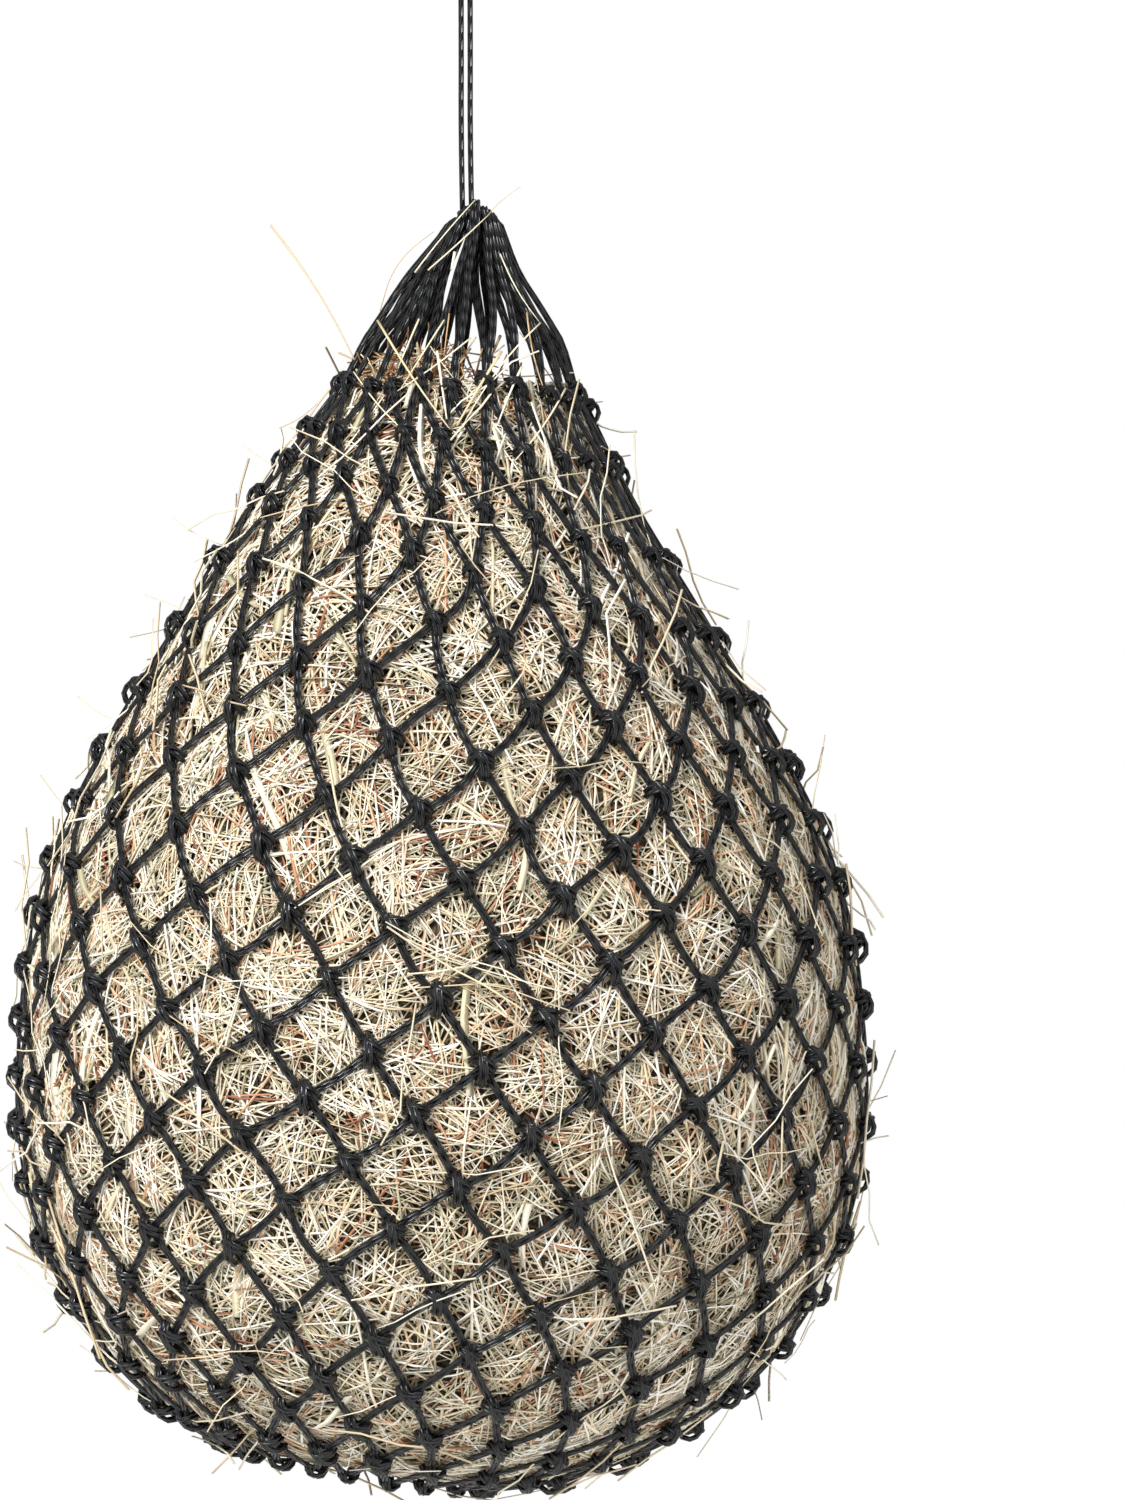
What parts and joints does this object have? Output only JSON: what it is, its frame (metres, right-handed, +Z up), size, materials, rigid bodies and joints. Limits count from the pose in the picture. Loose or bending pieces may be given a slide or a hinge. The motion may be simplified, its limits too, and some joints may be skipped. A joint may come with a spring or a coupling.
{
  "type": "hay net",
  "caption": "Filled hay net of knotted twine, drawn shut at the mouth by a cord whose loop hangs over a hook",
  "frame": {"origin": "the inside top of the hanging loop, where the hook carries it", "axes": "+Z up, along the hanging net; +X to the viewer's right when facing the net; +Y away from the viewer"},
  "size_m": [0.5144, 0.5156, 1.0019],
  "materials": {
    "drawcord": "braided cord with a slight sheen",
    "net_twine": "braided twine with a slight sheen",
    "hay": "dry, matte stems"
  },
  "bodies": {
    "cord_top": {"hanging_loop": "drawcord"},
    "knot": {"end_knot": "drawcord"},
    "falls": {"fall_left": "drawcord", "fall_right": "drawcord"},
    "bag": {"base_cord": "drawcord", "base_knot": "drawcord", "base_loops": "net_twine", "hay_flake_1": "hay", "hay_flake_2": "hay", "hay_flake_3": "hay", "hay_flake_4": "hay", "hay_flake_5": "hay", "mouth_cord": "drawcord", "mouth_loops": "net_twine", "net_course_01": "net_twine", "net_course_02": "net_twine", "net_course_03": "net_twine", "net_course_04": "net_twine", "net_course_05": "net_twine", "net_course_06": "net_twine", "net_course_07": "net_twine", "net_course_08": "net_twine", "net_course_09": "net_twine", "net_course_10": "net_twine", "net_course_11": "net_twine", "net_course_12": "net_twine", "net_course_13": "net_twine", "net_course_14": "net_twine", "net_course_15": "net_twine", "net_course_16": "net_twine", "net_course_17": "net_twine", "net_course_18": "net_twine", "net_course_19": "net_twine", "net_course_20": "net_twine"}
  },
  "joints": [
    {"name": "cord_twist", "type": "hinge", "parent": "cord_top", "child": "knot", "pos_m": [0, 0, -0.085], "axis": [0, 0, 1], "range_deg": [-180, 180]},
    {"name": "side_swing", "type": "hinge", "parent": "knot", "child": "falls", "pos_m": [0, 0, -0.085], "axis": [0, 1, 0], "range_deg": [-30, 30]},
    {"name": "fore_aft_swing", "type": "hinge", "parent": "falls", "child": "bag", "pos_m": [0, 0, -0.233], "axis": [1, 0, 0], "range_deg": [-25, 25]}
  ]
}
